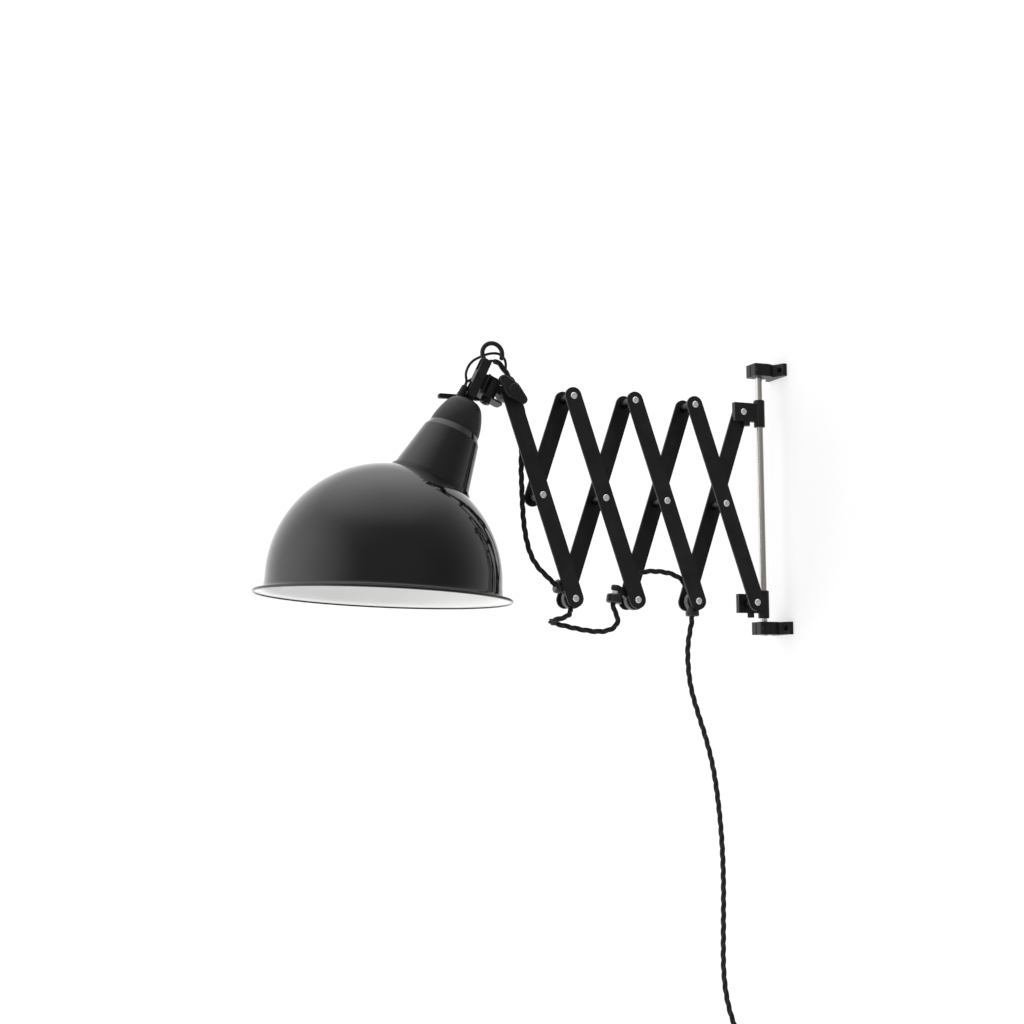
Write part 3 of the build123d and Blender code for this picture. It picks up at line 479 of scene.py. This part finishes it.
crown_hole_radius = 0.012
arc_steps = 60
bead_steps = 10
dome_segments = 256
bead_radius = 0.0020
bead_centre = (0.1670, -0.0204)
flare_outside = [       # beyond the dome's radius, and height
    (0.0002, -0.004), (0.0006, -0.008), (0.0010, -0.0120), (0.0016, -0.0148), (0.0032, -0.0171),
    (0.0058, -0.0182), (0.0090, -0.0184),
]
lip_outside = [(0.1665, -0.0184)]
lip_inside = [(0.1662, -0.0216), (0.1662, -0.0203)]
flare_inside = [        # beyond the dome's radius, and height
    (0.0084, -0.0200), (0.0044, -0.0195), (0.0014, -0.0180), (0.0000, -0.0155),
]
skirt_inside = [        # beyond the inner radius, and height
    (0.0008, -0.0110), (0.0003, -0.005),
]


def build_shade():
    """Spun dome with a flared skirt and a beaded rim, black outside and white inside."""
    centre = Matrix.Translation((0, 0, -dome_centre_down))
    dome_matrix = head_matrix @ centre @ Matrix.Rotation(dome_tilt - head_tilt, 4, "Y")
    inner = dome_radius - dome_wall
    crown = 90 - math.degrees(math.asin(crown_hole_radius / dome_radius))
    outside = arc((0, 0), dome_radius, crown, 0, arc_steps)
    outside += [(dome_radius + grow, height) for grow, height in flare_outside]
    outside += lip_outside
    outside += arc(bead_centre, bead_radius, 90, -90, bead_steps)
    outside += lip_inside
    inside = [(dome_radius + grow, height) for grow, height in flare_inside]
    inside += [(inner + grow, height) for grow, height in skirt_inside]
    inside += arc((0, 0), inner, 0, crown, arc_steps)
    slots = [0] * (len(outside) - 1) + [1] * len(inside) + [0]
    dome = lathe(
        "enamel_dome", outside + inside, slots, dome_matrix, [black_enamel, white_enamel],
        dome_segments,
    )
    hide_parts("shade_dome")
    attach(dome, "shade")


build_shade()


# ---------------------------------------------------------------- flex
# the single cores' routes are in the head's axes, the others in the row frame; all in millimetres
strand_a_route = [
    (31.4, 59.4, 6.6), (29.4, 65.8, 7), (25.4, 70.6, 6.8), (21.4, 72.6, 6), (14, 73.6, 5.5),
    (7.1, 70.8, 5.5), (-0.8, 65, 6), (-8.1, 56.4, 5.6), (-15.9, 45.6, 3), (-19.2, 33.9, 0),
    (-18.6, 22.1, -1.4), (-12.4, 13.5, -1.9), (-11.5, 7.05, -1.9),
]
strand_b_route = [
    (16.4, 63.4, 9.8), (12.4, 62.6, 10), (6.9, 60, 11.6), (3.6, 53.1, 12.4), (0.6, 35.6, 12.4),
    (-4.8, 24, 12.3), (-10.2, 16.5, 7), (-11.5, 12, 2.4), (-11.5, 7.05, 1.9),
]
lead_route = [
    (-448.2, -5.6, 169.6), (-444.4, -5.1, 169.2), (-440.2, -5.0, 166.6), (-433.2, -6, 157.8),
    (-429.6, -9.5, 150), (-427.6, -15.8, 143.8), (-425.0, -19, 138.0), (-421.86, -19, 130.15),
]
hang_route = [
    (-421.8, 130), (-417.2, 118.5), (-413, 105), (-411.5, 86), (-414, 58), (-415.5, 26),
    (-414.5, -4), (-413.5, -32), (-411.5, -56), (-407, -80), (-400, -99), (-389, -113.5),
    (-378, -122.5), (-369, -131.5), (-360, -136.5),
]
loop_route = [
    (-345, -19, -165.0), (-347, -27, -172.5), (-358.9, -31, -178), (-369.4, -20.5, -180.8),
    (-369.4, -5.5, -182.3), (-358.9, 5, -183.6), (-345, 4, -186.8), (-331, -6, -191),
    (-317, -14, -194.2), (-302, -18, -195.8), (-288, -19, -194), (-277.5, -19, -188.5),
    (-273, -19, -179.5), (-276.5, -19, -170.5), (-281, -19, -162.5), (-280.6, -19, -151),
]
arc_route = [
    (-252, -140), (-252, -129), (-246.5, -118), (-236, -112.8), (-222, -111.2), (-207, -111.5),
    (-192, -113.5), (-179, -118.5), (-170.5, -126), (-162.2, -140.3),
]
tail_route = [
    (-159, -19, -166), (-159.4, -19, -178), (-162.8, -19, -192), (-167, -19, -213),
    (-167.3, -19, -240), (-163.5, -19, -272), (-153, -19, -306), (-140.5, -19, -342),
    (-130.5, -19, -380), (-124.5, -19, -420), (-119.5, -19, -470), (-117.5, -19, -530),
    (-119.5, -19, -600), (-121.5, -19.5, -660), (-117, -24, -705), (-106, -31, -742),
    (-99.8, -34.8, -772), (-99.8, -34.8, -792.7),
]
hank_x = -119.0
hank_half_width = 19.2
hank_front = -34.8          # y of the first turn
hank_shift = 7.9            # from turn to turn
hank_turns = 4
hank_high = -792.7
hank_low = -865.3
upper_station = 0.3         # of the run down a side
lower_station = 0.7
eighths = [math.radians(22.5 + 45 * k) for k in range(4)]
plug_plane = -3.2
plug_start = -933.0
plug_entry = 2              # the flex goes on into the plug
lead_out = [                # from the hank's middle, its back plane and its lower end
    (hank_half_width, 2.2, -2), (17.5, 2, -15), (12, 1.2, -28),
]
lead_in = [(4.5, -41), (0.4, -53)]      # the same in the plug's plane, without y


def hank_route():
    """Turns behind each other, down the right, up the left, then out below to the plug."""
    reach = hank_half_width / math.cos(math.radians(22.5))
    run = hank_high - hank_low
    around = 2 * run + 2 * math.pi * hank_half_width
    right = [
        (hank_half_width, hank_high - upper_station * run),
        (hank_half_width, hank_high - lower_station * run),
    ]
    under = [(reach * math.cos(w), hank_low - reach * math.sin(w)) for w in eighths]
    left = [
        (-hank_half_width, hank_low + upper_station * run),
        (-hank_half_width, hank_low + lower_station * run),
    ]
    over = [(-reach * math.cos(w), hank_high + reach * math.sin(w)) for w in eighths]
    points = []
    for turn in range(hank_turns):
        start = hank_front + turn * hank_shift
        travelled = 0.0
        before = (hank_half_width, hank_high)
        for place in right + under + left + over:
            travelled += math.dist(before, place)
            before = place
            depth = start + hank_shift * travelled / around
            points.append((hank_x + place[0], depth, place[1]))
    back = hank_front + hank_turns * hank_shift
    for (across, height), deeper in zip(right, (0.6, 1.4)):
        points.append((hank_x + across, back + deeper, height))
    for across, deeper, rise in lead_out:
        points.append((hank_x + across, back + deeper, hank_low + rise))
    for across, rise in lead_in:
        points.append((hank_x + across, plug_plane, hank_low + rise))
    points.append((hank_x, plug_plane, plug_start - plug_entry))
    return points


tie_clearance = 0.0004
tie_half_depth = 0.0204
tie_half_height = 0.006
tie_corner = 0.004
tie_sheet = 0.0012
tie_corner_steps = 6


def hank_tie():
    """Strap round the middle of the hank."""
    middle = Vector((MM * hank_x, flex_plane, MM * (hank_high + hank_low) / 2))
    half_width = MM * hank_half_width + flex_diameter / 2 + tie_clearance
    half = Vector((half_width, tie_half_depth, tie_half_height))
    outline = []
    for quarter in range(4):
        sign_x = 1 if quarter in (0, 3) else -1
        sign_y = 1 if quarter in (0, 1) else -1
        for step in range(tie_corner_steps + 1):
            turn = math.radians(90 * quarter + 90 / tie_corner_steps * step)
            outline.append((
                sign_x * (half.x - tie_corner) + tie_corner * math.cos(turn),
                sign_y * (half.y - tie_corner) + tie_corner * math.sin(turn),
            ))
    bm = bmesh.new()
    rings = []
    for grow, rise in ((0, -1), (tie_sheet, -1), (tie_sheet, 1), (0, 1)):
        scale_x = (half.x + grow) / half.x
        scale_y = (half.y + grow) / half.y
        ring = []
        for x, y in outline:
            place = middle + Vector((x * scale_x, y * scale_y, rise * half.z))
            ring.append(bm.verts.new(place))
        rings.append(ring)
    for a, b in zip(rings, rings[1:] + rings[:1]):
        for k in range(len(a)):
            m = (k + 1) % len(a)
            bm.faces.new((a[k], a[m], b[m], b[k]))
    piece = mesh_object("hank_tie", bm, [plastic], smooth=False)
    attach(piece, "cord_tail")
    return piece


def build_flex():
    """The flex from the lampholder's inlet to the plug, stretch by stretch."""
    strands = (("strand_a", strand_a_route), ("strand_b", strand_b_route))
    for name, route in strands:
        line = spaced(centreline([Vector(head_point(*p)) for p in route]), strand_step)
        bm = bmesh.new()
        add_tube(bm, line, strand_diameter / 2)
        piece = mesh_object(name, bm, [braid])
        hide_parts("flex_strands")
        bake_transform(piece)
    lead, _ = twisted_cores("flex_lead_cores", in_metres(lead_route), None)
    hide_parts("flex_lead")
    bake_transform(lead)
    hang, line = twisted_cores("flex_hang_cores", in_plane(hang_route), "front_bar_0")
    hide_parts("flex_hang")
    loop, line = twisted_cores("flex_loop_cores", in_metres(loop_route), None)
    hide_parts("flex_loop")
    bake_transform(loop)
    arch, line = twisted_cores("flex_arc_cores", in_plane(arc_route), None)
    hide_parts("flex_arc")
    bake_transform(arch)
    whole = in_metres(tail_route[:-1] + hank_route())
    tail, line = twisted_cores("flex_tail_cores", whole, "cord_tail")
    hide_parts("flex_tail", "flex_hank")
    pieces = [hank_tie(), frame["nodes"]["plug_body"], frame["nodes"]["plug_pins"]]


build_flex()


# ---------------------------------------------------------------- stage, camera and light
wall_front = 0.0005         # x of the backdrop, just behind the brackets
wall_height = -0.3
wall_size = 24.0
wall_paint = (0.60, 0.60, 0.60)
wall_glow = 0.575           # what the camera sees of it: this glow
wall_shade = (0.42, 0.42, 0.42)     # and this paint's shading
front_light = 0.36          # world strength behind the camera
back_light = 1.30           # world strength behind the lamp
overhead_light = 0.7        # added straight above
left_light = 0.5            # added far to the left
wall_side_share = 0.60      # what is left of it towards the wall
fill_place = Vector((-1.0, -1.2, -1.3))
fill_target = Vector((-0.6, 0, -0.1))
fill_size = 1.2
fill_power = 5


def build_wall():
    """A plane that the camera sees as glow plus a share of its shading; other rays see paint."""
    bm = bmesh.new()
    bmesh.ops.create_grid(bm, x_segments=1, y_segments=1, size=wall_size / 2)
    rotation = Vector((0, 0, 1)).rotation_difference(Vector((-1, 0, 0))).to_matrix().to_4x4()
    bm.transform(Matrix.Translation((wall_front, 0, wall_height)) @ rotation)
    material, tree, shader = new_material("wall_paint")
    shader.inputs["Roughness"].default_value = 0.9
    shader.inputs["Specular IOR Level"].default_value = 0.0
    seen = tree.nodes.new("ShaderNodeLightPath").outputs["Is Camera Ray"]
    tree.links.new(mixed_colour(tree, seen, wall_paint, wall_shade), shader.inputs["Base Color"])
    shader.inputs["Emission Color"].default_value = (1, 1, 1, 1)
    glow = math_node(tree, "MULTIPLY", seen, wall_glow)
    tree.links.new(glow, shader.inputs["Emission Strength"])
    wall = mesh_object("wall", bm, [material], smooth=False)
    wall.visible_glossy = False


def build_fill_light():
    """A weak light from below, which reflections don't show."""
    light = bpy.data.lights.new("fill_from_below", "AREA")
    light.energy = fill_power
    light.size = fill_size
    fill = bpy.data.objects.new("fill_from_below", light)
    fill.location = fill_place
    fill.rotation_euler = (fill_target - fill_place).to_track_quat("-Z", "Y").to_euler()
    fill.visible_glossy = False
    bpy.context.collection.objects.link(fill)


def build_world():
    """White backdrop; reflections see a studio, dark behind the camera and light elsewhere."""
    world = bpy.data.worlds.new("studio")
    bpy.context.scene.world = world
    world.use_nodes = True
    tree = world.node_tree
    background = tree.nodes["Background"]
    path = tree.nodes.new("ShaderNodeLightPath")
    split = tree.nodes.new("ShaderNodeSeparateXYZ")
    tree.links.new(coordinates(tree, "Generated"), split.inputs[0])
    x, y, z = split.outputs
    strength = mapped(tree, y, front_light, back_light, from_low=-0.85, from_high=0.35)
    overhead = mapped(tree, z, 0.0, overhead_light, from_low=0.70, from_high=1.0)
    left = mapped(tree, x, left_light, 0.0, from_low=-1.0, from_high=-0.6)
    share = mapped(tree, x, 1.0, wall_side_share, from_low=0.1, from_high=0.9)
    for result in (strength, overhead, left, share):
        result.node.interpolation_type = "SMOOTHSTEP"
    strength = math_node(tree, "ADD", math_node(tree, "ADD", strength, overhead), left)
    strength = math_node(tree, "MULTIPLY", strength, share)
    strength = math_node(tree, "MAXIMUM", strength, path.outputs["Is Camera Ray"])
    background.inputs["Color"].default_value = (1, 1, 1, 1)
    tree.links.new(strength, background.inputs["Strength"])


camera_place = (-1.2401, -2.0170, -0.2907)
camera_forward = Vector((0.3736, 0.9202, 0.1168))
camera_level = Vector((0.9265, -0.3762, 0))
camera_roll = math.radians(-0.29)
camera_lens = 57.02
camera_reach = 30


def build_camera():
    """The photo's camera."""
    forward = camera_forward.normalized()
    level = camera_level.normalized()
    upright = level.cross(forward)
    right = math.cos(camera_roll) * level + math.sin(camera_roll) * upright
    up = -math.sin(camera_roll) * level + math.cos(camera_roll) * upright
    data = bpy.data.cameras.new("camera")
    data.sensor_width = 36
    data.lens = camera_lens
    data.clip_end = camera_reach
    camera = bpy.data.objects.new("camera", data)
    matrix = Matrix((right, up, -forward)).transposed().to_4x4()
    matrix.translation = camera_place
    camera.matrix_world = matrix
    bpy.context.collection.objects.link(camera)
    bpy.context.scene.camera = camera


build_wall()
build_world()
build_fill_light()
build_camera()
bpy.context.scene.view_settings.view_transform = "Standard"
